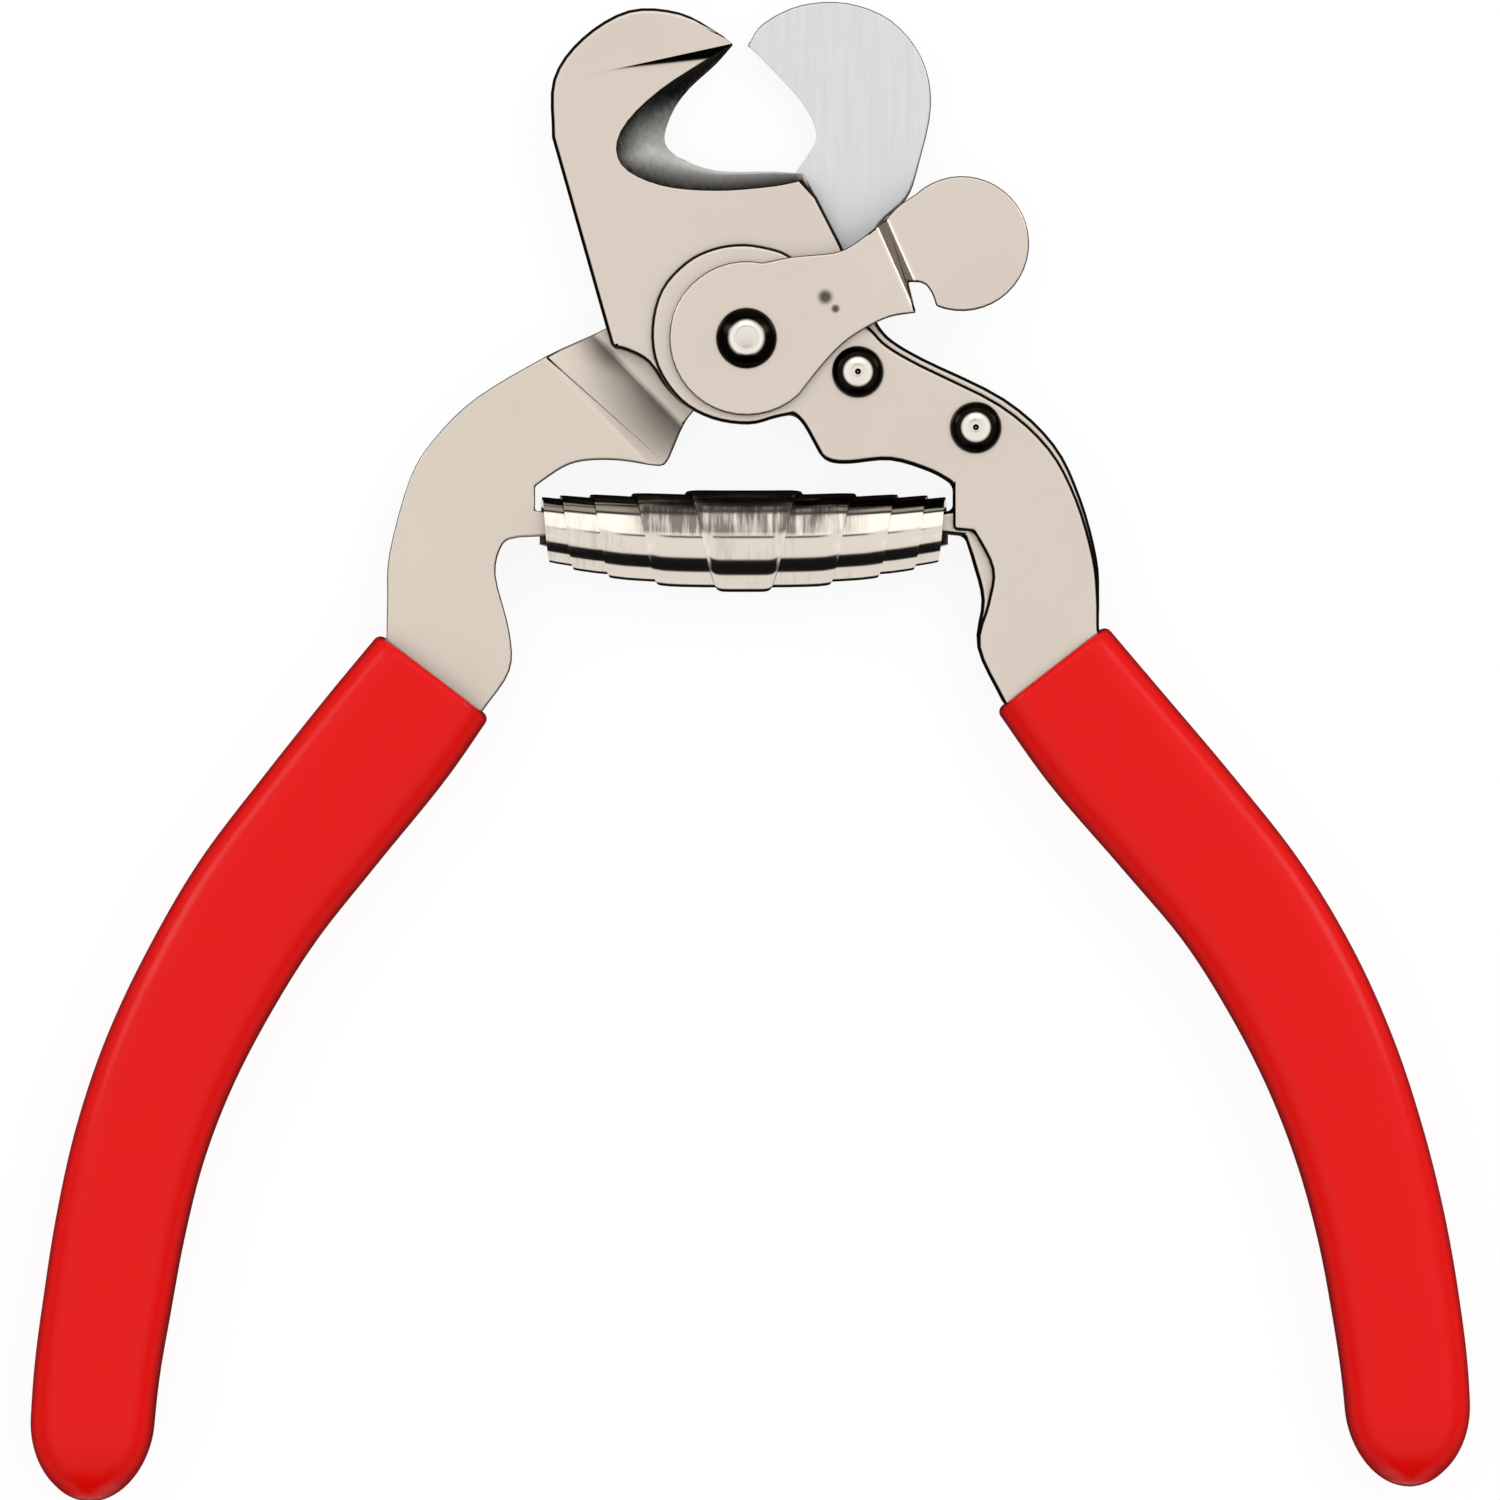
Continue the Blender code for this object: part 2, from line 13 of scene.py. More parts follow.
import bmesh
import bpy
import numpy as np
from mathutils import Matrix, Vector


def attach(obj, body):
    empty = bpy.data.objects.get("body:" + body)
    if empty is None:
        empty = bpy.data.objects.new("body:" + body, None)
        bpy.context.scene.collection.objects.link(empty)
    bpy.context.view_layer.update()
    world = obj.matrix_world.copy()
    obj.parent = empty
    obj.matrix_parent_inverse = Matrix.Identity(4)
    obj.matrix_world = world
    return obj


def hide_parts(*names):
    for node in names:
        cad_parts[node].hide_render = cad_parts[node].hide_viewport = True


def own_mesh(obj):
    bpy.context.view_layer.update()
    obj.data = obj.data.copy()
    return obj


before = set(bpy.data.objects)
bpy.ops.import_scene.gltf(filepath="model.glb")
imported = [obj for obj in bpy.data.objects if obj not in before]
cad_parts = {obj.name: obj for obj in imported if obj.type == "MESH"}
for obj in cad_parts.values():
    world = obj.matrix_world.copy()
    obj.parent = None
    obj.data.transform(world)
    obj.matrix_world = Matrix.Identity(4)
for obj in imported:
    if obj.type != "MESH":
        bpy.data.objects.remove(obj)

MM = 0.001
LOG = logging.getLogger("clipper")

Span = tuple[float, float]

# The plates' rivet bores, as (x, y, reach): edges within reach of a centre stay sharp.
RIVET_BORES = ((0.0, 0.0, 3.0), (10.4, -3.1, 2.2), (21.4, -8.3, 2.2))

# The upward part of a face's normal: a wall's is at most the first, a flat face's at least the second.
WALL_RISE, FLAT_RISE = 0.1, 0.97

# Sockets of a colour Mix node: its factor, its two colours and its result.
FACTOR, FIRST, SECOND, RESULT = 0, 6, 7, 2

# How far a finish's roughness sways to either side.
ROUGHNESS_SWAY = 0.05


class Slot(Enum):
    """The record's material slots."""

    SATIN = "satin_steel"
    WASHER = "washer_steel"
    RIVET = "polished_rivet"
    SPRING = "spring_steel"
    PLASTISOL = "red_plastisol"


class Body(Enum):
    """The bodies that pieces ride on."""

    FRAME = "frame"
    BLADE = "blade_lever"
    STOP = "stop"
    SPRING = "spring"


# ---------------------------------------------------------------- shader helpers


def hex_colour(code: str) -> tuple[float, float, float, float]:
    """Turn an sRGB hex code into a linear colour.

    Args:
        code: six hex digits after a #.

    Returns:
        Linear red, green and blue, and an alpha of 1.
    """
    channels = [int(code[i:i + 2], 16) / 255 for i in (1, 3, 5)]
    linear = [c / 12.92 if c <= 0.04045 else ((c + 0.055) / 1.055) ** 2.4 for c in channels]
    return (*linear, 1.0)


def grey(light: float) -> tuple[float, float, float, float]:
    """Return a linear grey, with an alpha of 1."""
    return (light, light, light, 1.0)


def per_metre(size_mm: float) -> float:
    """Return the texture scale that repeats once in a size given in millimetres."""
    return 1.0 / (size_mm * MM)


def in_metres(span_mm: Span) -> Span:
    """Turn a span in millimetres into metres."""
    return span_mm[0] * MM, span_mm[1] * MM


def fill(tree: bpy.types.NodeTree, node: bpy.types.Node, values: dict[Any, Any]) -> None:
    """Set a node's inputs, by name or index, to values, or link them from output sockets."""
    for name, value in values.items():
        if isinstance(value, bpy.types.NodeSocket):
            tree.links.new(value, node.inputs[name])
        else:
            node.inputs[name].default_value = value


def add_node(tree: bpy.types.NodeTree, kind: str, values: dict[Any, Any] | None = None,
             **settings: Any) -> bpy.types.Node:
    """Add a node, set its own settings, and fill or link its inputs.

    Args:
        tree: the node tree to add to.
        kind: the node's Blender type name.
        values: input name or index to a value, or to an output socket to link from.
        settings: attributes of the node itself, such as its blend type.

    Returns:
        The new node.
    """
    node = tree.nodes.new(kind)
    for name, setting in settings.items():
        setattr(node, name, setting)
    fill(tree, node, values or {})
    return node


def calculate(tree: bpy.types.NodeTree, operation: str, *values: Any,
              **settings: Any) -> bpy.types.NodeSocket:
    """Return the result of one arithmetic step."""
    step = add_node(tree, "ShaderNodeMath", dict(enumerate(values)), operation=operation, **settings)
    return step.outputs["Value"]


def vector_step(tree: bpy.types.NodeTree, operation: str, *values: Any) -> bpy.types.Node:
    """Add a node that takes one arithmetic step with vectors."""
    return add_node(tree, "ShaderNodeVectorMath", dict(enumerate(values)), operation=operation)


def along(tree: bpy.types.NodeTree, vector: bpy.types.NodeSocket, axis: str) -> bpy.types.NodeSocket:
    """Return a vector's share along one axis."""
    return add_node(tree, "ShaderNodeSeparateXYZ", {"Vector": vector}).outputs[axis]


def flattened(tree: bpy.types.NodeTree, vector: bpy.types.NodeSocket) -> bpy.types.NodeSocket:
    """Return a vector without its height."""
    return vector_step(tree, "MULTIPLY", vector, (1.0, 1.0, 0.0)).outputs["Vector"]


def spread(tree: bpy.types.NodeTree, value: bpy.types.NodeSocket, source: Span = (0.0, 1.0),
           target: Span = (0.0, 1.0), soft: bool = False) -> bpy.types.NodeSocket:
    """Map a value from one span to another, held at both ends.

    Args:
        tree: the node tree to add to.
        value: the value.
        source: the span that the value is mapped from.
        target: the span that it is mapped to.
        soft: whether the map eases in and out.

    Returns:
        The mapped value.
    """
    return add_node(tree, "ShaderNodeMapRange", {
        "Value": value, "From Min": source[0], "From Max": source[1], "To Min": target[0],
        "To Max": target[1]}, interpolation_type="SMOOTHSTEP" if soft else "LINEAR").outputs["Result"]


def mixed(tree: bpy.types.NodeTree, share: bpy.types.NodeSocket, first: Any,
          second: Any) -> bpy.types.NodeSocket:
    """Return a colour that goes from the first to the second: sockets, hex codes or linear colours."""
    first, second = (hex_colour(c) if isinstance(c, str) else c for c in (first, second))
    return add_node(tree, "ShaderNodeMix", {FACTOR: share, FIRST: first, SECOND: second},
                    data_type="RGBA").outputs[RESULT]


def noise(tree: bpy.types.NodeTree, place: bpy.types.NodeSocket, scale: float, detail: float,
          roughness: float = 0.5) -> bpy.types.NodeSocket:
    """Return a noise over a place, between 0 and 1."""
    return add_node(tree, "ShaderNodeTexNoise", {
        "Vector": place, "Scale": scale, "Detail": detail, "Roughness": roughness}).outputs["Fac"]


def stretched_noise(tree: bpy.types.NodeTree, place: bpy.types.NodeSocket, sizes_mm: Sequence[float],
                    roughness: float, turn: float = 0.0) -> bpy.types.NodeSocket:
    """Return a noise with its own grain size along each axis, turned about Z."""
    where = add_node(tree, "ShaderNodeMapping", {
        "Vector": place, "Rotation": (0.0, 0.0, turn), "Scale": [per_metre(size) for size in sizes_mm]})
    return noise(tree, where.outputs["Vector"], 1.0, 3.0, roughness)


def bumped(tree: bpy.types.NodeTree, height: bpy.types.NodeSocket, strength: float, depth_mm: float,
           **under: bpy.types.NodeSocket) -> bpy.types.NodeSocket:
    """Return the surface's normal with a bump on it, or on another bump given as Normal."""
    return add_node(tree, "ShaderNodeBump", {
        "Height": height, "Strength": strength, "Distance": depth_mm * MM, **under}).outputs["Normal"]


def object_place(tree: bpy.types.NodeTree) -> bpy.types.NodeSocket:
    """Return the place on the piece, in metres."""
    return add_node(tree, "ShaderNodeTexCoord").outputs["Object"]


def facing(tree: bpy.types.NodeTree, axis: str) -> bpy.types.NodeSocket:
    """Return how far the surface faces along an axis, from -1 to 1."""
    return along(tree, add_node(tree, "ShaderNodeNewGeometry").outputs["Normal"], axis)


def levelness(tree: bpy.types.NodeTree) -> bpy.types.NodeSocket:
    """Return 1 where the surface lies level, down to 0 where it stands upright."""
    return calculate(tree, "ABSOLUTE", facing(tree, "Z"))


def new_material(name: str) -> tuple[bpy.types.Material, bpy.types.NodeTree, bpy.types.Node]:
    """Return a new material, its node tree and its Principled shader."""
    material = bpy.data.materials.new(name)
    material.use_nodes = True
    return material, material.node_tree, material.node_tree.nodes["Principled BSDF"]


# ---------------------------------------------------------------- mesh helpers


def smooth_path(points: np.ndarray, per_span: int) -> np.ndarray:
    """Run a smooth curve through rows of numbers.

    Each span between two rows is the Catmull-Rom cubic of the four rows around it; the end spans
    mirror their own step.

    Args:
        points: rows of any width, at least two.
        per_span: samples in each span.

    Returns:
        The sampled rows, both ends included.
    """
    padded = np.vstack([2 * points[0] - points[1], points, 2 * points[-1] - points[-2]])
    t = np.linspace(0, 1, per_span, endpoint=False)[None, :, None]
    a, b, c, d = (padded[i:len(padded) - 3 + i, None, :] for i in range(4))
    spans = 0.5 * (2 * b + (c - a) * t + (2 * a - 5 * b + 4 * c - d) * t**2
                   + (3 * b - a - 3 * c + d) * t**3)
    return np.vstack([spans.reshape(-1, points.shape[1]), points[-1:]])


def arc_lengths(points: np.ndarray) -> np.ndarray:
    """Return the distance along a path at each of its points."""
    return np.concatenate([[0.0], np.cumsum(np.linalg.norm(np.diff(points, axis=0), axis=1))])


def at_lengths(where: np.ndarray, lengths: np.ndarray, rows: np.ndarray) -> np.ndarray:
    """Return rows of a path, interpolated at distances along it."""
    return np.column_stack([np.interp(where, lengths, column) for column in rows.T])


def grid_faces(rows: int, columns: int) -> np.ndarray:
    """Return the quads of a grid of closed rings, as rows of four vertex numbers."""
    first = np.arange(rows - 1)[:, None] * columns
    across = np.arange(columns)[None, :]
    following = (across + 1) % columns
    quads = np.stack([first + across, first + following, first + columns + following,
                      first + columns + across], axis=-1)
    return quads.reshape(-1, 4)


def strip_faces(rows: int, columns: int) -> np.ndarray:
    """Return the quads of an open grid of points, as rows of four vertex numbers."""
    first = np.arange(rows - 1)[:, None] * columns
    across = np.arange(columns - 1)[None, :]
    quads = np.stack([first + across, first + across + 1, first + columns + across + 1,
                      first + columns + across], axis=-1)
    return quads.reshape(-1, 4)


def ring_piece(name: str, rings: np.ndarray) -> bpy.types.Object:
    """Make a smooth closed piece from a grid of closed rings, with a fan over each end.

    Args:
        name: the piece's name.
        rings: an array of rings by points by three, in millimetres.

    Returns:
        The new object, linked to the scene, at the origin.
    """
    rows, columns, _ = rings.shape
    centres = rings[[0, -1]].mean(axis=1)
    vertices = np.vstack([rings.reshape(-1, 3), centres])
    around = np.arange(columns)
    following = (around + 1) % columns
    last = (rows - 1) * columns
    start = np.stack([following, around, np.full(columns, rows * columns)], axis=-1)
    end = np.stack([last + around, last + following, np.full(columns, rows * columns + 1)], axis=-1)
    faces = grid_faces(rows, columns).tolist() + start.tolist() + end.tolist()
    mesh = bpy.data.meshes.new(name)
    mesh.from_pydata((vertices * MM).tolist(), [], faces)
    make_outward(mesh)
    mesh.shade_smooth()
    return placed(name, mesh)


def placed(name: str, mesh: bpy.types.Mesh) -> bpy.types.Object:
    """Return a new object at the origin that holds a mesh."""
    piece = bpy.data.objects.new(name, mesh)
    bpy.context.scene.collection.objects.link(piece)
    return piece


def make_outward(mesh: bpy.types.Mesh) -> None:
    """Merge a mesh's doubled points, drop empty faces and turn the rest outwards."""
    work = bmesh.new()
    work.from_mesh(mesh)
    bmesh.ops.remove_doubles(work, verts=work.verts, dist=1e-7)
    bmesh.ops.dissolve_degenerate(work, edges=work.edges, dist=1e-8)
    bmesh.ops.recalc_face_normals(work, faces=work.faces)
    work.to_mesh(mesh)
    work.free()


def revolved(profile: np.ndarray, centre: Sequence[float], sides: int) -> np.ndarray:
    """Turn a profile about a vertical axis.

    A point at (radius, height) and angle a lands at centre + radius (cos a, sin a), at its height.

    Args:
        profile: rows of (radius, height), in millimetres.
        centre: the axis's x and y.
        sides: points in each ring.

    Returns:
        The grid of rings.
    """
    angle = np.linspace(0, 2 * np.pi, sides, endpoint=False)
    radius, height = profile[:, :1], profile[:, 1:]
    return np.stack([centre[0] + radius * np.cos(angle), centre[1] + radius * np.sin(angle),
                     np.broadcast_to(height, (len(profile), sides))], axis=-1)


def dress(piece: bpy.types.Object, materials: Sequence[bpy.types.Material], body: Body, slot: Slot,
          *nodes: str) -> bpy.types.Object:
    """Give a piece its materials and its body, and hide the fixed nodes that it stands in for; the slot is
    not used.
    """
    for material in materials:
        piece.data.materials.append(material)
    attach(piece, body.value)
    if nodes:
        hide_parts(*nodes)
    return piece


# ---------------------------------------------------------------- finishes


@dataclass(frozen=True)
class SatinNickel:
    """Nickel plate on stamped carbon steel, tumbled before plating: a warm and very even satin face.

    The sheared edge keeps a dark, rough skin, and the same dark colour is painted over the rolled rims by
    their tilt, as painted shade for the dark room that they would mirror; so every plate reads with a dark
    line round it. Where a lever is ground after plating, beyond ground_radius_mm from the pivot on the jaw
    side, the bare steel shows cooler and whiter, with fine grinding lines. A punched dent is not modelled:
    its painted shade is a soft dark disc, given as (x, y, radius).
    """

    name: str = "satin_nickel_plate"
    face: str = "#D8CDC1"
    cloud: str = "#CFC4B7"
    # Painted shade: this dark colour stands partly for the sheared wall's own skin and partly for the dark
    # room mirrored in the rolled rims.
    edge: str = "#17130F"
    roughness: float = 0.36
    cloud_mm: float = 11.0
    grain_mm: float = 0.30
    painted_rim_shade_levels: Span = (0.85, 0.955)
    ground: str = "#D7D7D8"
    ground_line: str = "#D1D1D2"
    ground_radius_mm: float | None = None
    ground_fade_mm: float = 0.6
    jaw_side_mm: Span = (2.0, 3.0)
    line_mm: float = 0.45
    line_length_mm: float = 9.0
    line_angle: float = math.radians(-62)
    line_levels: Span = (0.35, 0.65)
    # Painted shade: soft dark discs at (x, y, radius) that stand for the shade inside punched dents, which
    # are not modelled; the next colour is theirs.
    painted_dent_shades_mm: tuple[tuple[float, float, float], ...] = ()
    mark: str = "#5E534A"
    dent_shade_core: float = 0.3

    def with_painted_dent_shade(self, tree: bpy.types.NodeTree, place: bpy.types.NodeSocket,
                      plated: bpy.types.NodeSocket) -> bpy.types.NodeSocket:
        """Return the colour with painted shade for its punched dents: soft dark discs, darkest at their
        core.
        """
        flat = flattened(tree, place)
        for x, y, radius in self.painted_dent_shades_mm:
            away = vector_step(tree, "DISTANCE", flat, (x * MM, y * MM, 0.0)).outputs["Value"]
            clear = spread(tree, away, in_metres((self.dent_shade_core * radius, radius)), soft=True)
            plated = mixed(tree, clear, self.mark, plated)
        return plated

    def ground_colour(self, tree: bpy.types.NodeTree, place: bpy.types.NodeSocket,
                      plated: bpy.types.NodeSocket) -> bpy.types.NodeSocket:
        """Return the plate's colour with its bare ground area laid over it."""
        lines = stretched_noise(tree, place, (self.line_mm, self.line_length_mm, self.line_mm), 0.7,
                                self.line_angle)
        bare = mixed(tree, spread(tree, lines, self.line_levels), self.ground_line, self.ground)
        away = vector_step(tree, "LENGTH", place).outputs["Value"]
        rim_mm = (self.ground_radius_mm, self.ground_radius_mm + self.ground_fade_mm)
        beyond = spread(tree, away, in_metres(rim_mm))
        jaw_side = spread(tree, along(tree, place, "Y"), in_metres(self.jaw_side_mm))
        return mixed(tree, calculate(tree, "MULTIPLY", beyond, jaw_side), plated, bare)

    def build(self) -> bpy.types.Material:
        """Return the material."""
        material, tree, shader = new_material(self.name)
        place = object_place(tree)
        cloud = noise(tree, place, per_metre(self.cloud_mm), 4.0, 0.6)
        grain = noise(tree, place, per_metre(self.grain_mm), 2.0)
        plated = mixed(tree, cloud, self.face, self.cloud)
        if self.ground_radius_mm is not None:
            plated = self.ground_colour(tree, place, plated)
        plated = self.with_painted_dent_shade(tree, place, plated)
        # Painted shade: the rim colour takes over as the surface tilts away from level.
        rim = spread(tree, levelness(tree), self.painted_rim_shade_levels, soft=True)
        sway = (self.roughness - ROUGHNESS_SWAY, self.roughness + ROUGHNESS_SWAY)
        fill(tree, shader, {
            "Base Color": mixed(tree, rim, self.edge, plated), "Metallic": 1.0,
            "Roughness": spread(tree, grain, target=sway), "Normal": bumped(tree, grain, 0.05, 0.02)})
        return material


@dataclass(frozen=True)
class HollowGroundSteel:
    """Bare carbon steel, hollow-ground with a wheel: grey, with painted shade towards the front face and the
    hook's tip.

    The wheel's lines run across the bevel. The painted shade lies in a band along the plate's front face,
    over the band's heights, and widens to the whole bevel at the hook's tip, over the tip span along Y.
    """

    name: str = "hollow_ground_steel"
    # Painted shade: the dark colour of the hollow towards the front face and the tip.
    painted_shade: str = "#2A2927"
    clean: str = "#BCBAB5"
    painted_shade_band_mm: Span = (3.9, 6.4)
    painted_shade_tip_mm: Span = (16.5, 23.0)
    roughness: float = 0.50
    line_mm: float = 0.35
    line_sway: float = 0.20

    def build(self) -> bpy.types.Material:
        """Return the material."""
        material, tree, shader = new_material(self.name)
        place = object_place(tree)
        # Painted shade mask: rises towards the front face, and towards the tip along Y.
        band = spread(tree, along(tree, place, "Z"), in_metres(self.painted_shade_band_mm))
        tip = spread(tree, along(tree, place, "Y"), in_metres(self.painted_shade_tip_mm))
        share = calculate(tree, "MAXIMUM", band, tip)
        lines = stretched_noise(tree, place, (self.line_mm, self.line_mm * 2, self.line_mm * 8), 0.65)
        shift = spread(tree, lines, target=(-self.line_sway, self.line_sway))
        painted_shade = calculate(tree, "ADD", share, shift, use_clamp=True)
        fill(tree, shader, {
            "Base Color": mixed(tree, painted_shade, self.clean, self.painted_shade), "Metallic": 1.0,
            "Roughness": self.roughness, "Normal": bumped(tree, lines, 0.15, 0.02)})
        return material


@dataclass(frozen=True)
class BlackenedRivetSteel:
    """A steel rivet, black-oxided and then polished on its crown by the setting tool.

    The crown mirrors the room. The steep sides are black, partly from the oxide and partly as painted shade
    for the dark room that they would mirror, so each head reads as a bright spot in a dark ring.
    """

    name: str = "polished_rivet_steel"
    crown: str = "#E6DFD5"
    # Painted shade, partly the oxide's own black: the colour of the steep sides.
    painted_flank_shade: str = "#17130F"
    roughness: float = 0.16
    roughest: float = 0.24
    crown_levels: Span = (0.84, 0.96)
    pit_mm: float = 0.35

    def build(self) -> bpy.types.Material:
        """Return the material."""
        material, tree, shader = new_material(self.name)
        pits = noise(tree, object_place(tree), per_metre(self.pit_mm), 3.0)
        # Painted shade mask: the steep sides take the dark colour.
        crown = spread(tree, levelness(tree), self.crown_levels, soft=True)
        sway = (self.roughness - ROUGHNESS_SWAY, self.roughest)
        fill(tree, shader, {
            "Base Color": mixed(tree, crown, self.painted_flank_shade, self.crown), "Metallic": 1.0,
            "Roughness": spread(tree, pits, target=sway), "Normal": bumped(tree, pits, 0.08, 0.03)})
        return material


@dataclass(frozen=True)
class SpringStrip:
    """Bright cold-rolled spring strip, coiled on an arbor and nickel-plated.

    It mirrors the room with faint lines along the strip. Dull rubbed patches show where the coils slide: in
    the middle of its length, on the side that faces the pivot. The side that faces the pivot most squarely
    is painted brown as a painted reflection, and the steepest sides nearly black as painted shade.
    """

    name: str = "bright_spring_strip"
    bright: str = "#DDD3C7"
    rubbed: str = "#6F6963"
    # Painted reflection: a brown for the side that faces the pivot most squarely.
    painted_reflection_brown: str = "#A3978A"
    # Painted shade: near black for the steepest sides.
    painted_flank_shade: str = "#1A1613"
    roughness: float = 0.10
    rubbed_roughness: float = 0.22
    patch_mm: float = 6.0
    line_mm: float = 0.55
    line_length_mm: float = 6.0
    faint_levels: Span = (0.27, 0.42)
    faint_share: float = 0.22
    strong_levels: Span = (0.10, 0.30)
    rubbed_reach_mm: Span = (9.5, 11.5)
    rubbed_levels: Span = (0.06, 0.16)
    painted_reflection_levels: Span = (0.66, 0.74)
    painted_flank_shade_levels: Span = (0.24, 0.38)

    def build(self) -> bpy.types.Material:
        """Return the material."""
        material, tree, shader = new_material(self.name)
        place = object_place(tree)
        sizes = (self.line_mm, self.line_length_mm, self.line_length_mm)
        lines = stretched_noise(tree, place, sizes, 0.6)
        patch = noise(tree, place, per_metre(self.patch_mm), 3.0)
        worn = calculate(tree, "MULTIPLY", lines, patch)
        faint = spread(tree, worn, self.faint_levels, (0.0, self.faint_share))
        strong = spread(tree, worn, self.strong_levels)
        pivotward = facing(tree, "Y")
        across = calculate(tree, "ABSOLUTE", along(tree, place, "X"))
        middle = spread(tree, across, in_metres(self.rubbed_reach_mm), (1.0, 0.0))
        pivot_side = spread(tree, pivotward, self.rubbed_levels)
        share = add_node(tree, "ShaderNodeMix", {
            FACTOR: calculate(tree, "MULTIPLY", middle, pivot_side), "A": faint, "B": strong},
            data_type="FLOAT").outputs["Result"]
        rubbed = mixed(tree, share, self.bright, self.rubbed)
        # Painted reflection and painted shade: brown towards the pivot, near black on the steepest sides.
        brown = spread(tree, pivotward, self.painted_reflection_levels, soft=True)
        open_face = spread(tree, levelness(tree), self.painted_flank_shade_levels, soft=True)
        colour = mixed(tree, open_face, self.painted_flank_shade, mixed(tree, brown, rubbed, self.painted_reflection_brown))
        fill(tree, shader, {
            "Base Color": colour, "Metallic": 1.0,
            "Roughness": spread(tree, share, target=(self.roughness, self.rubbed_roughness)),
            "Normal": bumped(tree, lines, 0.08, 0.03)})
        return material


@dataclass(frozen=True)
class DippedPlastisol:
    """Soft PVC plastisol, hot-dipped on the handle: a deep red with a wet gloss.

    The skin has a very faint orange peel and slow waves from draining. The sides are painted a deeper red,
    as painted shade that darkens towards the outline.
    """

    name: str = "dipped_red_plastisol"
    body: str = "#DC0702"
    drained: str = "#D50401"
    # Painted shade: the deeper red of the sides.
    painted_flank_shade: str = "#780002"
    roughness: float = 0.28
    specular: float = 0.18
    peel_mm: float = 0.9
    wave_mm: float = 14.0
    painted_flank_shade_levels: Span = (0.10, 0.62)

    def build(self) -> bpy.types.Material:
        """Return the material."""
        material, tree, shader = new_material(self.name)
        place = object_place(tree)
        peel = noise(tree, place, per_metre(self.peel_mm), 2.0, 0.4)
        wave = noise(tree, place, per_metre(self.wave_mm), 2.0)
        # Painted shade mask: full on the steep sides, none on the flat face.
        open_face = spread(tree, levelness(tree), self.painted_flank_shade_levels)
        skin = mixed(tree, wave, self.body, self.drained)
        sway = (self.roughness - ROUGHNESS_SWAY, self.roughness + ROUGHNESS_SWAY)
        slow = bumped(tree, wave, 0.25, 0.5)
        fill(tree, shader, {
            "Base Color": mixed(tree, open_face, self.painted_flank_shade, skin),
            "Roughness": spread(tree, wave, target=sway), "Specular IOR Level": self.specular,
            "Normal": bumped(tree, peel, 0.08, 0.06, Normal=slow)})
        return material


@dataclass(frozen=True)
class StudioPaper:
    """Seamless white paper on a lit table: nearly white, with only a breath of shadow."""

    name: str = "lit_white_paper"
    paper: str = "#F4F4F4"
    glow: float = 0.99
    share_lit: float = 0.11
    roughness: float = 0.9

    def build(self) -> bpy.types.Material:
        """Return the material."""
        material, tree, shader = new_material(self.name)
        fill(tree, shader, {
            "Base Color": grey(self.share_lit), "Roughness": self.roughness,
            "Specular IOR Level": 0.0, "Emission Color": hex_colour(self.paper),
            "Emission Strength": self.glow})
        return material


# ---------------------------------------------------------------- sub-assemblies


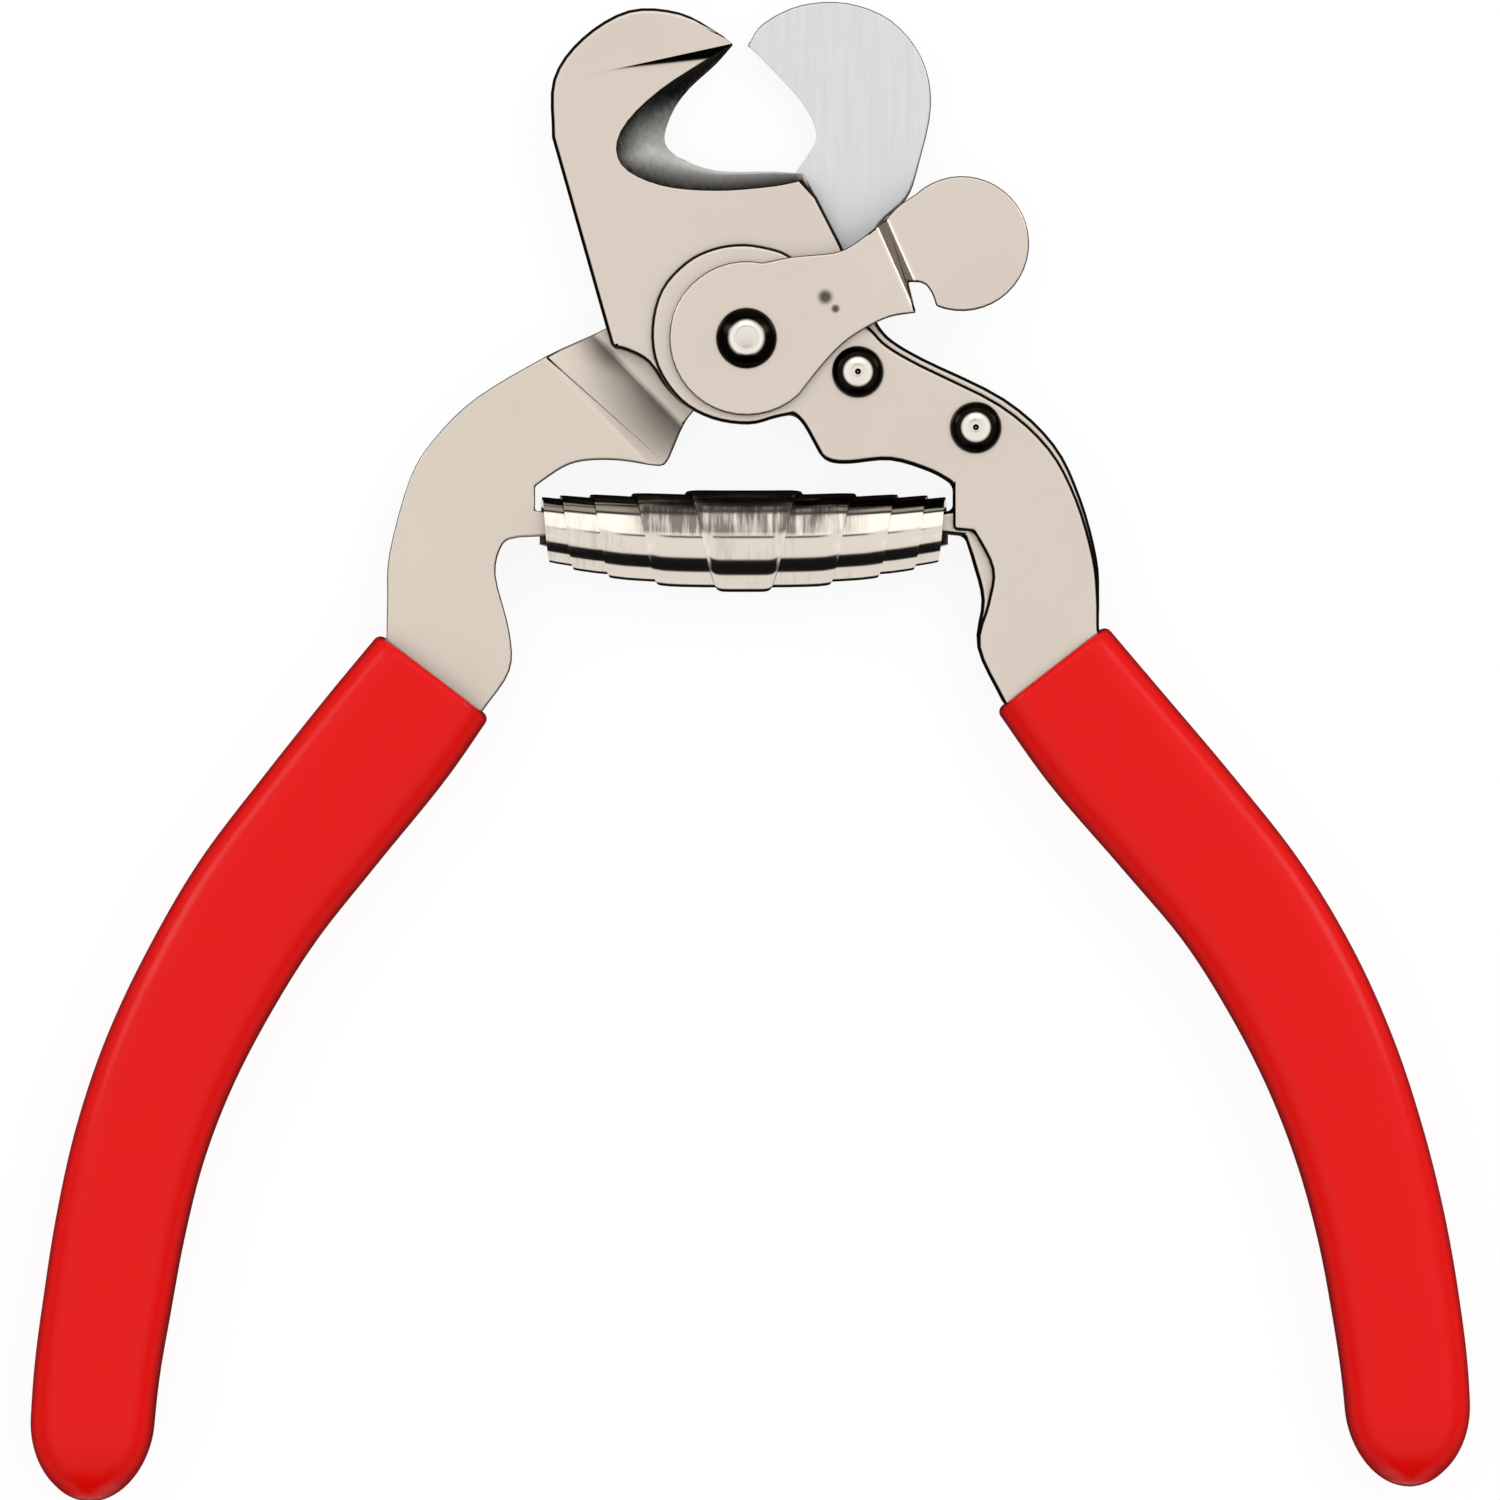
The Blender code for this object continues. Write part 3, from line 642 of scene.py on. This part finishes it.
@dataclass
class PressedPlate:
    """A part stamped from sheet steel. Its shape is its fixed solid's, with the edges rolled over.

    Where the sheet is bent out of its plane, the bend is eased over bend_mm. The rims of the rivet
    bores stay sharp. ground_from_y marks where a plate's sloped faces are ground to an edge, on the jaw
    side; those faces take the second material and keep their edges sharp, but for a fine break of
    break_mm along the front face.
    """

    node: str
    body: Body
    materials: Sequence[bpy.types.Material]
    roll_mm: float = 0.45
    bend_mm: float = 0.8
    break_mm: float = 0.12
    segments: int = 4
    crease: float = math.radians(16)
    bend_rise: float = 0.5
    ground_from_y: float | None = None

    def merged_solid(self) -> bmesh.types.BMesh:
        """Return a copy of the fixed solid with its loose triangles merged into flat faces."""
        work = bmesh.new()
        work.from_mesh(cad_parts[self.node].data)
        bmesh.ops.remove_doubles(work, verts=work.verts, dist=2e-6)
        bmesh.ops.dissolve_limit(work, angle_limit=math.radians(1.0), verts=work.verts,
                                 edges=work.edges)
        work.normal_update()
        return work

    def is_ground(self, face: bmesh.types.BMFace) -> bool:
        """Return whether a face is one of the plate's ground slopes."""
        if self.ground_from_y is None:
            return False
        sloped = WALL_RISE < abs(face.normal.z) < FLAT_RISE
        return sloped and face.calc_center_median().y > self.ground_from_y * MM

    def edge_width(self, edge: bmesh.types.BMEdge) -> float:
        """Return how far an edge is rolled or eased, in millimetres."""
        if edge.calc_face_angle(0.0) < self.crease:
            return 0.0
        rises = [face.normal.z for face in edge.link_faces]
        if any(face.material_index for face in edge.link_faces):
            return self.break_mm if max(rises) > FLAT_RISE else 0.0
        x, y = (edge.verts[0].co.xy + edge.verts[1].co.xy) / (2 * MM)
        if any(math.hypot(x - bore[0], y - bore[1]) < bore[2] for bore in RIVET_BORES):
            return 0.0
        bent = min(abs(rise) for rise in rises) > self.bend_rise
        return self.bend_mm if bent else self.roll_mm

    def shape_slopes(self, work: bmesh.types.BMesh) -> None:
        """Shape the ground slopes further; a plain plate leaves them as they are."""

    def build(self) -> bpy.types.Object:
        """Return the dressed plate."""
        work = self.merged_solid()
        for face in work.faces:
            face.material_index = 1 if self.is_ground(face) else 0
        self.shape_slopes(work)
        weight = work.edges.layers.float.new("bevel_weight_edge")
        for edge in work.edges:
            width = self.edge_width(edge)
            edge[weight] = width / self.bend_mm
            edge.smooth = not (width == 0.0 and edge.calc_face_angle(0.0) > self.crease)
        mesh = bpy.data.meshes.new(f"{self.node}_plate")
        work.to_mesh(mesh)
        work.free()
        mesh.shade_smooth()
        piece = placed(mesh.name, mesh)
        roll = piece.modifiers.new("rolled_edge", "BEVEL")
        roll.limit_method = "WEIGHT"
        roll.width = self.bend_mm * MM
        roll.segments = self.segments
        roll.use_clamp_overlap = False
        flat = piece.modifiers.new("flat_faces", "WEIGHTED_NORMAL")
        flat.keep_sharp = True
        return dress(piece, self.materials, self.body, Slot.SATIN, self.node)


@dataclass
class HookPlate(PressedPlate):
    """The hook lever, hollow-ground inside its hook.

    The hollow runs from the front line to the edge line: share t of the way across, its height falls
    from the front face by the plate's thickness times 1 - (1 - t)^hollow. The rolled edges thin out
    over the last tip_reach_mm before the hook's tip.
    """

    front_line: tuple[tuple[float, float], ...] = (
        (5.3, 14.9), (2.4, 14.3), (-2.9, 13.9), (-8.1, 14.4), (-11.7, 16.3), (-11.8, 19.4), (-8.1, 23.3),
        (-1.3, 27.6))
    edge_line: tuple[tuple[float, float], ...] = (
        (5.3, 15.6), (2.4, 15.8), (-2.9, 15.9), (-6.5, 17.3), (-7.6, 19.2), (-6.0, 22.8), (-2.9, 25.8),
        (-1.3, 27.6))
    tip_reach_mm: float = 5.0
    front_z: float = 6.4
    back_z: float = 3.9
    hollow: float = 1.6
    per_span: int = 4
    rows: int = 9

    def edge_width(self, edge: bmesh.types.BMEdge) -> float:
        """Return how far an edge is rolled; the roll fades out towards the hook's thin tip."""
        tip = Vector(self.front_line[-1])
        nearest = min((corner.co.xy / MM - tip).length for corner in edge.verts)
        return super().edge_width(edge) * min(1.0, nearest / self.tip_reach_mm)

    def shape_slopes(self, work: bmesh.types.BMesh) -> None:
        """Swap the flat slopes for the hollow, welded to the plate along both of its lines."""
        slopes = [face for face in work.faces if face.material_index]
        bmesh.ops.delete(work, geom=slopes, context="FACES_ONLY")
        front = smooth_path(np.array(self.front_line), self.per_span)
        edge = smooth_path(np.array(self.edge_line), self.per_span)
        share = np.linspace(0, 1, self.rows)[:, None, None]
        flat = front + (edge - front) * share
        fall = (self.front_z - self.back_z) * (1 - (1 - share) ** self.hollow)
        height = np.broadcast_to(self.front_z - fall, flat[:, :, :1].shape)
        points = np.concatenate([flat, height], axis=-1) * MM
        corners = [work.verts.new(point) for point in points.reshape(-1, 3).tolist()]
        columns = points.shape[1]
        for quad in strip_faces(self.rows, columns).tolist():
            face = work.faces.new([corners[i] for i in quad])
            face.material_index = 1
        bmesh.ops.remove_doubles(work, verts=work.verts, dist=5e-6)
        bmesh.ops.delete(work, geom=[edge for edge in work.edges if not edge.link_faces],
                         context="EDGES")
        bmesh.ops.recalc_face_normals(work, faces=work.faces)
        work.normal_update()


@dataclass
class Rivet:
    """A set rivet: a turned head and shaft in one piece."""

    node: str
    materials: Sequence[bpy.types.Material]
    centre: tuple[float, float]
    profile: tuple[tuple[float, float], ...]
    sides: int = 72
    sharp_from: float = math.radians(50)

    def build(self) -> bpy.types.Object:
        """Return the dressed rivet."""
        path = np.array(self.profile, dtype=float)
        piece = ring_piece(f"{self.node}_turned", revolved(path, self.centre, self.sides))
        piece.data.set_sharp_from_angle(angle=self.sharp_from)
        return dress(piece, self.materials, Body.FRAME, Slot.RIVET, self.node)


def domed_head(radius: float, base: float, height: float, flat: float, shaft: float,
               tail: float) -> tuple[tuple[float, float], ...]:
    """Return the (radius, height) profile of a rivet with a domed head, from its tail to its crown.

    The dome is a quarter of a super-ellipse between the rim and the flat: with share s from 0 to 1,
    radius = flat + (radius - flat) cos^0.8 and height = base + height sin^0.9 of s times 90 degrees.
    A small centre-punch mark sinks into the flat.
    """
    turn = np.radians(np.linspace(0, 90, 18))
    across = flat + (radius - flat) * np.cos(turn) ** 0.8
    up = base + height * np.sin(turn) ** 0.9
    dome = list(zip(across.tolist(), up.tolist()))
    top = base + height
    punch = ((0.22, top - 0.02), (0.16, top - 0.10), (0.02, top - 0.16))
    return ((shaft * 0.6, tail), (shaft, tail + 0.1), (shaft, base), (radius - 0.08, base), *dome,
            *punch)


@dataclass
class VoluteSpring:
    """A volute spring: one tapering strip rolled on itself, with its narrow tip outside.

    After t turns the strip's radius is outer_radius - pitch t and its half width is
    tip_half_width + widening t - easing t^2. The roll is bowed: its middle line leans by
    bow |x / reach|^bow_power towards the pivot.
    """

    materials: Sequence[bpy.types.Material]
    centre: tuple[float, float] = (-0.25, -18.75)
    axis_z: float = 5.15
    outer_radius: float = 4.86
    pitch: float = 0.41
    tip_half_width: float = 2.3
    widening: float = 6.2
    easing: float = 0.56
    first_turn: float = -0.28
    last_turn: float = 4.85
    thickness: float = 0.33
    reach: float = 19.3
    bow: float = 1.2
    bow_power: float = 2.6
    rings_per_turn: int = 80
    across_points: int = 13
    rim_share: float = 0.35
    rim_power: int = 14
    least_half_width: float = 0.8
    end_play: float = 0.15
    sharp_from: float = math.radians(40)
    closed_share: float = 0.63

    def strip_section(self) -> np.ndarray:
        """Return the strip's cross-section as (share across, share of thickness) points, closed."""
        across = np.sin(np.linspace(-np.pi / 2, np.pi / 2, self.across_points))
        rim = np.abs(across) ** self.rim_power * self.rim_share
        outer = np.column_stack([across, -rim])
        inner = np.column_stack([across[::-1], -1.0 + rim[::-1]])
        return np.vstack([outer, inner])

    def build(self) -> bpy.types.Object:
        """Return the dressed spring."""
        count = int((self.last_turn - self.first_turn) * self.rings_per_turn)
        turn = np.linspace(self.first_turn, self.last_turn, count)[:, None]
        radius = self.outer_radius - self.pitch * turn
        half_width = self.tip_half_width + self.widening * turn - self.easing * turn**2
        half_width = np.clip(half_width, self.least_half_width, self.reach - self.end_play)
        section = self.strip_section()
        along = half_width * section[None, :, 0].reshape(1, -1)
        depth = radius + self.thickness * section[None, :, 1].reshape(1, -1)
        lean = self.bow * np.abs(along / self.reach) ** self.bow_power
        angle = 2 * np.pi * turn
        rings = np.stack([self.centre[0] + along,
                          self.centre[1] + lean - depth * np.cos(angle),
                          self.axis_z + depth * np.sin(angle)], axis=-1)
        piece = ring_piece("volute_spring_strip", rings)
        piece.data.set_sharp_from_angle(angle=self.sharp_from)
        dress(piece, self.materials, Body.SPRING, Slot.SPRING, "volute_spring")
        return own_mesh(piece)


@dataclass
class DippedGrip:
    """A grip dipped on a lever's tang: a rounded sleeve along the handle's bend, closed at its end.

    The section is a rectangle w by h with corners of radius c: a point at angle a lies at
    (w - c) sign(cos a) + c cos a across and (h - c) sign(sin a) + c sin a up, and the flat face falls
    by crown (across / w)^2 to its sides. Over end_length the width closes to nothing, the thickness
    thins to end_share of the full one, and the last of it, from nose_from on, to nose_share of that.
    """

    name: str
    node: str
    body: Body
    materials: Sequence[bpy.types.Material]
    centre_line: tuple[tuple[float, float, float], ...]
    middle_z: float = 5.05
    half_thickness: float = 4.75
    corner: float = 3.0
    crown: float = 0.22
    end_length: float = 7.5
    end_share: float = 0.30
    nose_from: float = 0.35
    nose_share: float = 0.55
    lip: float = 0.7
    probe: float = 0.4
    least_half: float = 0.02
    rings: int = 110
    corner_points: int = 12

    def section(self) -> tuple[np.ndarray, np.ndarray, np.ndarray, np.ndarray]:
        """Return the section's corner signs and its corner directions, across and up."""
        quarter = np.linspace(0.0, np.pi / 2, self.corner_points)
        angle = np.concatenate([quarter + k * np.pi / 2 for k in range(4)])
        sign_across = np.repeat([1.0, -1.0, -1.0, 1.0], self.corner_points)
        sign_up = np.repeat([1.0, 1.0, -1.0, -1.0], self.corner_points)
        return sign_across, sign_up, np.cos(angle), np.sin(angle)

    def build(self) -> bpy.types.Object:
        """Return the dressed grip."""
        rows = smooth_path(np.array(self.centre_line), 12)
        lengths = arc_lengths(rows[:, :2])
        total = lengths[-1]
        lip_turn = np.radians(np.linspace(0, 90, 9))
        end_turn = np.radians(np.linspace(4, 90, 26))
        where = np.concatenate([
            self.lip * (1 - np.cos(lip_turn[:-1])),
            np.linspace(self.lip, total - self.end_length, self.rings),
            total - self.end_length * (1 - np.sin(end_turn)),
        ])
        inset = np.concatenate([
            self.lip * (1 - np.sin(lip_turn[:-1])), np.zeros(self.rings + len(end_turn))])
        shrink = np.concatenate([np.ones(len(lip_turn) - 1 + self.rings), np.cos(end_turn)])
        row = at_lengths(where, lengths, rows)
        step = at_lengths(np.clip(where + self.probe, 0, total), lengths, rows[:, :2])
        step -= at_lengths(np.clip(where - self.probe, 0, total), lengths, rows[:, :2])
        step /= np.linalg.norm(step, axis=1)[:, None]
        beside = np.column_stack([-step[:, 1], step[:, 0]])
        half = np.maximum(row[:, 2] * shrink - inset, self.least_half)[:, None]
        thick = self.half_thickness * (self.end_share + (1 - self.end_share) * shrink) - inset
        nose = self.nose_share + (1 - self.nose_share) * shrink / self.nose_from
        thick = (thick * np.where(shrink < self.nose_from, nose, 1.0))[:, None]
        corner = np.minimum(self.corner, np.minimum(half, thick) * 0.97)
        sign_across, sign_up, cosine, sine = self.section()
        across = (half - corner) * sign_across + corner * cosine
        up = (thick - corner) * sign_up + corner * sine
        up = up - self.crown * sign_up * (across / half) ** 2
        rings = np.stack([row[:, :1] + beside[:, :1] * across, row[:, 1:2] + beside[:, 1:2] * across,
                          self.middle_z + up], axis=-1)
        piece = ring_piece(self.name, rings)
        return dress(piece, self.materials, self.body, Slot.PLASTISOL, self.node)


@dataclass
class FrictionWasher:
    """The thin spring washer under the stop plate's hub, with rounded edges."""

    materials: Sequence[bpy.types.Material]
    inner: float = 2.2
    outer: float = 5.6
    low: float = 8.1
    high: float = 8.35

    def build(self) -> bpy.types.Object:
        """Return the dressed washer."""
        turn = np.radians(np.linspace(-90, 90, 7))
        middle = (self.low + self.high) / 2
        half = (self.high - self.low) / 2
        outer = np.column_stack([self.outer - half + half * np.cos(turn), middle + half * np.sin(turn)])
        inner = np.column_stack([self.inner + half - half * np.cos(turn), middle - half * np.sin(turn)])
        loop = np.vstack([outer, inner, outer[:1]])
        rings = revolved(loop, (0.0, 0.0), 96).transpose(1, 0, 2)[:, :-1]
        mesh = bpy.data.meshes.new("friction_washer_ring")
        count, around, _ = rings.shape
        closed = np.concatenate([rings, rings[:1]])
        quads = grid_faces(count + 1, around) % (count * around)
        mesh.from_pydata((closed[:-1].reshape(-1, 3) * MM).tolist(), [], quads.tolist())
        make_outward(mesh)
        mesh.shade_smooth()
        return dress(placed(mesh.name, mesh), self.materials, Body.FRAME, Slot.WASHER,
                     "friction_washer")


@dataclass(frozen=True)
class TentPanel:
    """One part of the light tent, as (degrees from straight up, light) stops."""

    stops: tuple[tuple[float, float], ...]

    def ramp(self, tree: bpy.types.NodeTree, share: bpy.types.NodeSocket) -> bpy.types.NodeSocket:
        """Return the panel's light, as a ramp of greys over the share of 180 degrees."""
        node = add_node(tree, "ShaderNodeValToRGB", {"Fac": share})
        elements = node.color_ramp.elements
        for degrees, light in self.stops[1:-1]:
            elements.new(degrees / 180).color = grey(light)
        for element, (degrees, light) in ((elements[0], self.stops[0]), (elements[-1], self.stops[-1])):
            element.position = degrees / 180
            element.color = grey(light)
        return node.outputs["Color"]


@dataclass(frozen=True)
class SoftBox:
    """A round light far off: its direction, how strong it is, and the cosines of its soft rim."""

    direction: tuple[float, float, float]
    light: float
    rim_cosines: Span

    def over(self, tree: bpy.types.NodeTree, direction: bpy.types.NodeSocket,
             behind: bpy.types.NodeSocket) -> bpy.types.NodeSocket:
        """Return the world's colour with this box in front of what lies behind it."""
        cosine = vector_step(tree, "DOT_PRODUCT", direction, self.direction).outputs["Value"]
        inside = spread(tree, cosine, self.rim_cosines, soft=True)
        return mixed(tree, inside, behind, grey(self.light))


@dataclass
class Studio:
    """A lit table, a light tent with dark gaps and soft boxes, a key light and the camera.

    strip_half gives the sines of the compass angles, off the tool's middle line, over which the strips
    give way to the walls.
    """

    centre: tuple[float, float] = (0.33, -38.4)
    camera_height_mm: float = 1200.0
    frame_mm: float = 141.0
    sensor_mm: float = 36.0
    floor_half_mm: float = 2500.0
    key_place_m: tuple[float, float, float] = (0.38, 0.42, 0.75)
    key_size_m: float = 0.30
    key_power_w: float = 1.2
    jaw_strip: TentPanel = TentPanel((
        (0, 1.04), (4, 1.04), (5.5, 0.02), (9, 0.02), (11, 1.30), (15, 1.55), (63, 1.60), (66, 0.02),
        (72, 0.03), (75, 0.44), (118, 0.42), (124, 0.01), (180, 0.01)))
    grip_strip: TentPanel = TentPanel((
        (0, 1.04), (42, 1.02), (47, 0.01), (84, 0.01), (88, 1.00), (138, 1.00), (144, 0.02),
        (180, 0.01)))
    walls: TentPanel = TentPanel((
        (0, 1.04), (14, 1.04), (24, 1.18), (46, 1.15), (58, 0.88), (70, 0.35), (90, 0.16), (120, 0.05),
        (180, 0.02)))
    strip_half: Span = (0.30, 0.55)
    boxes: tuple[SoftBox, ...] = (
        SoftBox((0.600, 0.576, 0.555), 1.12, (0.88, 0.95)),
        SoftBox((0.830, 0.441, 0.342), 4.0, (0.970, 0.990)),
        SoftBox((-0.830, 0.441, 0.342), 4.5, (0.970, 0.990)))

    def build(self) -> None:
        """Set the camera, the floor, the key light and the world."""
        self.place_camera()
        self.lay_floor()
        self.hang_key_light()
        self.set_world()
        bpy.context.scene.view_settings.view_transform = "Standard"

    def place_camera(self) -> None:
        """Put the camera straight above the tool, far off, looking down."""
        lens = bpy.data.cameras.new("front_camera")
        lens.sensor_width = self.sensor_mm
        lens.lens = self.sensor_mm * self.camera_height_mm / self.frame_mm
        lens.clip_start = 0.01
        lens.clip_end = 20.0
        camera = bpy.data.objects.new("front_camera", lens)
        camera.location = (self.centre[0] * MM, self.centre[1] * MM, self.camera_height_mm * MM)
        bpy.context.scene.collection.objects.link(camera)
        bpy.context.scene.camera = camera

    def lay_floor(self) -> None:
        """Lay the paper on the table, just under the pivot's rear head; bright metal doesn't mirror it."""
        half = self.floor_half_mm * MM
        mesh = bpy.data.meshes.new("paper_floor")
        corners = [(-half, -half, 0.0), (half, -half, 0.0), (half, half, 0.0), (-half, half, 0.0)]
        mesh.from_pydata(corners, [], [(0, 1, 2, 3)])
        mesh.materials.append(StudioPaper().build())
        floor = placed("paper_floor", mesh)
        floor.visible_glossy = False

    def hang_key_light(self) -> None:
        """Hang a soft round light at the upper right, turned to the tool; metal doesn't mirror it."""
        panel = bpy.data.lights.new("key_panel", "AREA")
        panel.shape = "DISK"
        panel.size = self.key_size_m
        panel.energy = self.key_power_w
        light = bpy.data.objects.new("key_panel", panel)
        light.location = self.key_place_m
        toward = Vector((self.centre[0] * MM, self.centre[1] * MM, 0.0)) - light.location
        light.rotation_euler = toward.to_track_quat("-Z", "Y").to_euler()
        light.visible_camera = False
        light.visible_glossy = False
        bpy.context.scene.collection.objects.link(light)

    def set_world(self) -> None:
        """Shade the world by its angle from straight up.

        The wedge over the jaws and the one over the grips have lights and gaps of their own; the walls
        fill the rest, with the soft boxes standing in front of them.
        """
        world = bpy.data.worlds.new("light_tent")
        world.use_nodes = True
        bpy.context.scene.world = world
        tree = world.node_tree
        direction = add_node(tree, "ShaderNodeTexCoord").outputs["Generated"]
        polar = calculate(tree, "ARCCOSINE", along(tree, direction, "Z"))
        share = calculate(tree, "DIVIDE", polar, math.pi)
        toward_jaws = calculate(tree, "GREATER_THAN", along(tree, direction, "Y"), 0.0)
        strips = mixed(tree, toward_jaws, self.grip_strip.ramp(tree, share),
                       self.jaw_strip.ramp(tree, share))
        compass = vector_step(tree, "NORMALIZE", flattened(tree, direction)).outputs["Vector"]
        aside = calculate(tree, "ABSOLUTE", along(tree, compass, "X"))
        off_strip = spread(tree, aside, self.strip_half, soft=True)
        tent = mixed(tree, off_strip, strips, self.walls.ramp(tree, share))
        for box in self.boxes:
            tent = box.over(tree, direction, tent)
        tree.links.new(tent, tree.nodes["Background"].inputs["Color"])


# ---------------------------------------------------------------- the tool


RIGHT_GRIP = (
    (28.5, -30.7, 6.45), (33.8, -37.5, 6.8), (40.2, -45.0, 6.75), (46.3, -52.5, 6.6), (51.0, -60.1, 6.5),
    (54.6, -67.6, 6.3), (57.3, -75.1, 6.1), (59.3, -82.6, 6.0), (60.7, -90.1, 5.95), (61.7, -97.7, 5.85),
    (62.2, -107.3, 5.6),
)
LEFT_GRIP = (
    (-29.2, -31.4, 6.45), (-33.7, -37.3, 6.75), (-39.9, -45.0, 6.7), (-45.7, -52.5, 6.6),
    (-50.3, -60.1, 6.45), (-54.0, -67.6, 6.3), (-56.7, -75.1, 6.15), (-58.5, -82.6, 6.05),
    (-59.8, -90.1, 5.95), (-60.9, -97.7, 5.8), (-61.7, -108.7, 5.6),
)

PIVOT_PROFILE = (
    (0.01, 0.0), (3.75, 0.0), (4.0, 0.08), (4.14, 0.22), (4.2, 0.45), (4.2, 0.95), (4.12, 1.12), (3.95, 1.2),
    (2.0, 1.2), (2.0, 9.75), (2.75, 9.75), (2.84, 9.84), (2.84, 9.95), (2.74, 10.16), (2.5, 10.42),
    (2.2, 10.68), (1.95, 10.88), (1.75, 11.01), (1.6, 11.09), (1.45, 11.15), (1.3, 11.19), (1.12, 11.21),
    (0.9, 11.2), (0.5, 11.19), (0.01, 11.19),
)


def main() -> None:
    """Build every sub-assembly in order."""
    logging.basicConfig(level=logging.INFO, format="%(message)s")
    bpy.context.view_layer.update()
    Studio().build()
    # Every satin nickel finish paints shade on its rims: black by default, grey on the blade lever,
    # brown-black on the stop plate.
    nickel = SatinNickel().build()
    blade_nickel = SatinNickel(name="satin_nickel_and_ground_blade", edge="#5A544D",
                               painted_rim_shade_levels=(0.40, 0.84), roughness=0.48, ground_radius_mm=10.4).build()
    # The stop plate also has painted shade in two soft dark discs that stand for punched dents.
    stop_nickel = SatinNickel(name="satin_nickel_with_painted_dent_shade", edge="#2B241D",
                              painted_rim_shade_levels=(0.55, 0.86),
                              painted_dent_shades_mm=((7.35, 3.85, 0.95), (8.3, 2.75, 0.55))).build()
    ground = HollowGroundSteel().build()
    rivet_steel = BlackenedRivetSteel().build()
    # The handle rivets' crowns are narrower, so more of each head takes the painted shade.
    set_steel = BlackenedRivetSteel(name="hand_set_rivet_steel", crown_levels=(0.950, 0.985)).build()
    washer_steel = SatinNickel(name="washer_nickel", face="#C9C2B8", cloud="#B8B0A5",
                               roughness=0.28, cloud_mm=4.0).build()
    strip = SpringStrip().build()
    plastisol = DippedPlastisol().build()
    upper = domed_head(2.44, 8.1, 1.38, 0.35, 1.4, 3.9)
    assembly = (
        PressedPlate("rear_lever", Body.BLADE, [blade_nickel, blade_nickel], roll_mm=0.25,
                     bend_mm=0.3, ground_from_y=11.0),
        HookPlate("hook_lever", Body.FRAME, [nickel, ground], roll_mm=0.55, ground_from_y=13.4),
        PressedPlate("handle_doubler", Body.FRAME, [nickel], roll_mm=0.5),
        FrictionWasher([washer_steel]),
        PressedPlate("stop_plate", Body.STOP, [stop_nickel], roll_mm=0.25, bend_mm=0.3),
        Rivet("pivot_rivet", [rivet_steel], (0.0, 0.0), PIVOT_PROFILE),
        Rivet("handle_rivet_upper", [set_steel], (10.4, -3.1), upper),
        Rivet("handle_rivet_lower", [set_steel], (21.4, -8.3), upper),
        VoluteSpring([strip]),
        DippedGrip("right_grip_sleeve", "right_grip", Body.FRAME, [plastisol], RIGHT_GRIP),
        DippedGrip("left_grip_sleeve", "left_grip", Body.BLADE, [plastisol], LEFT_GRIP),
    )
    for part in assembly:
        piece = part.build()


if __name__ == "__main__":
    main()
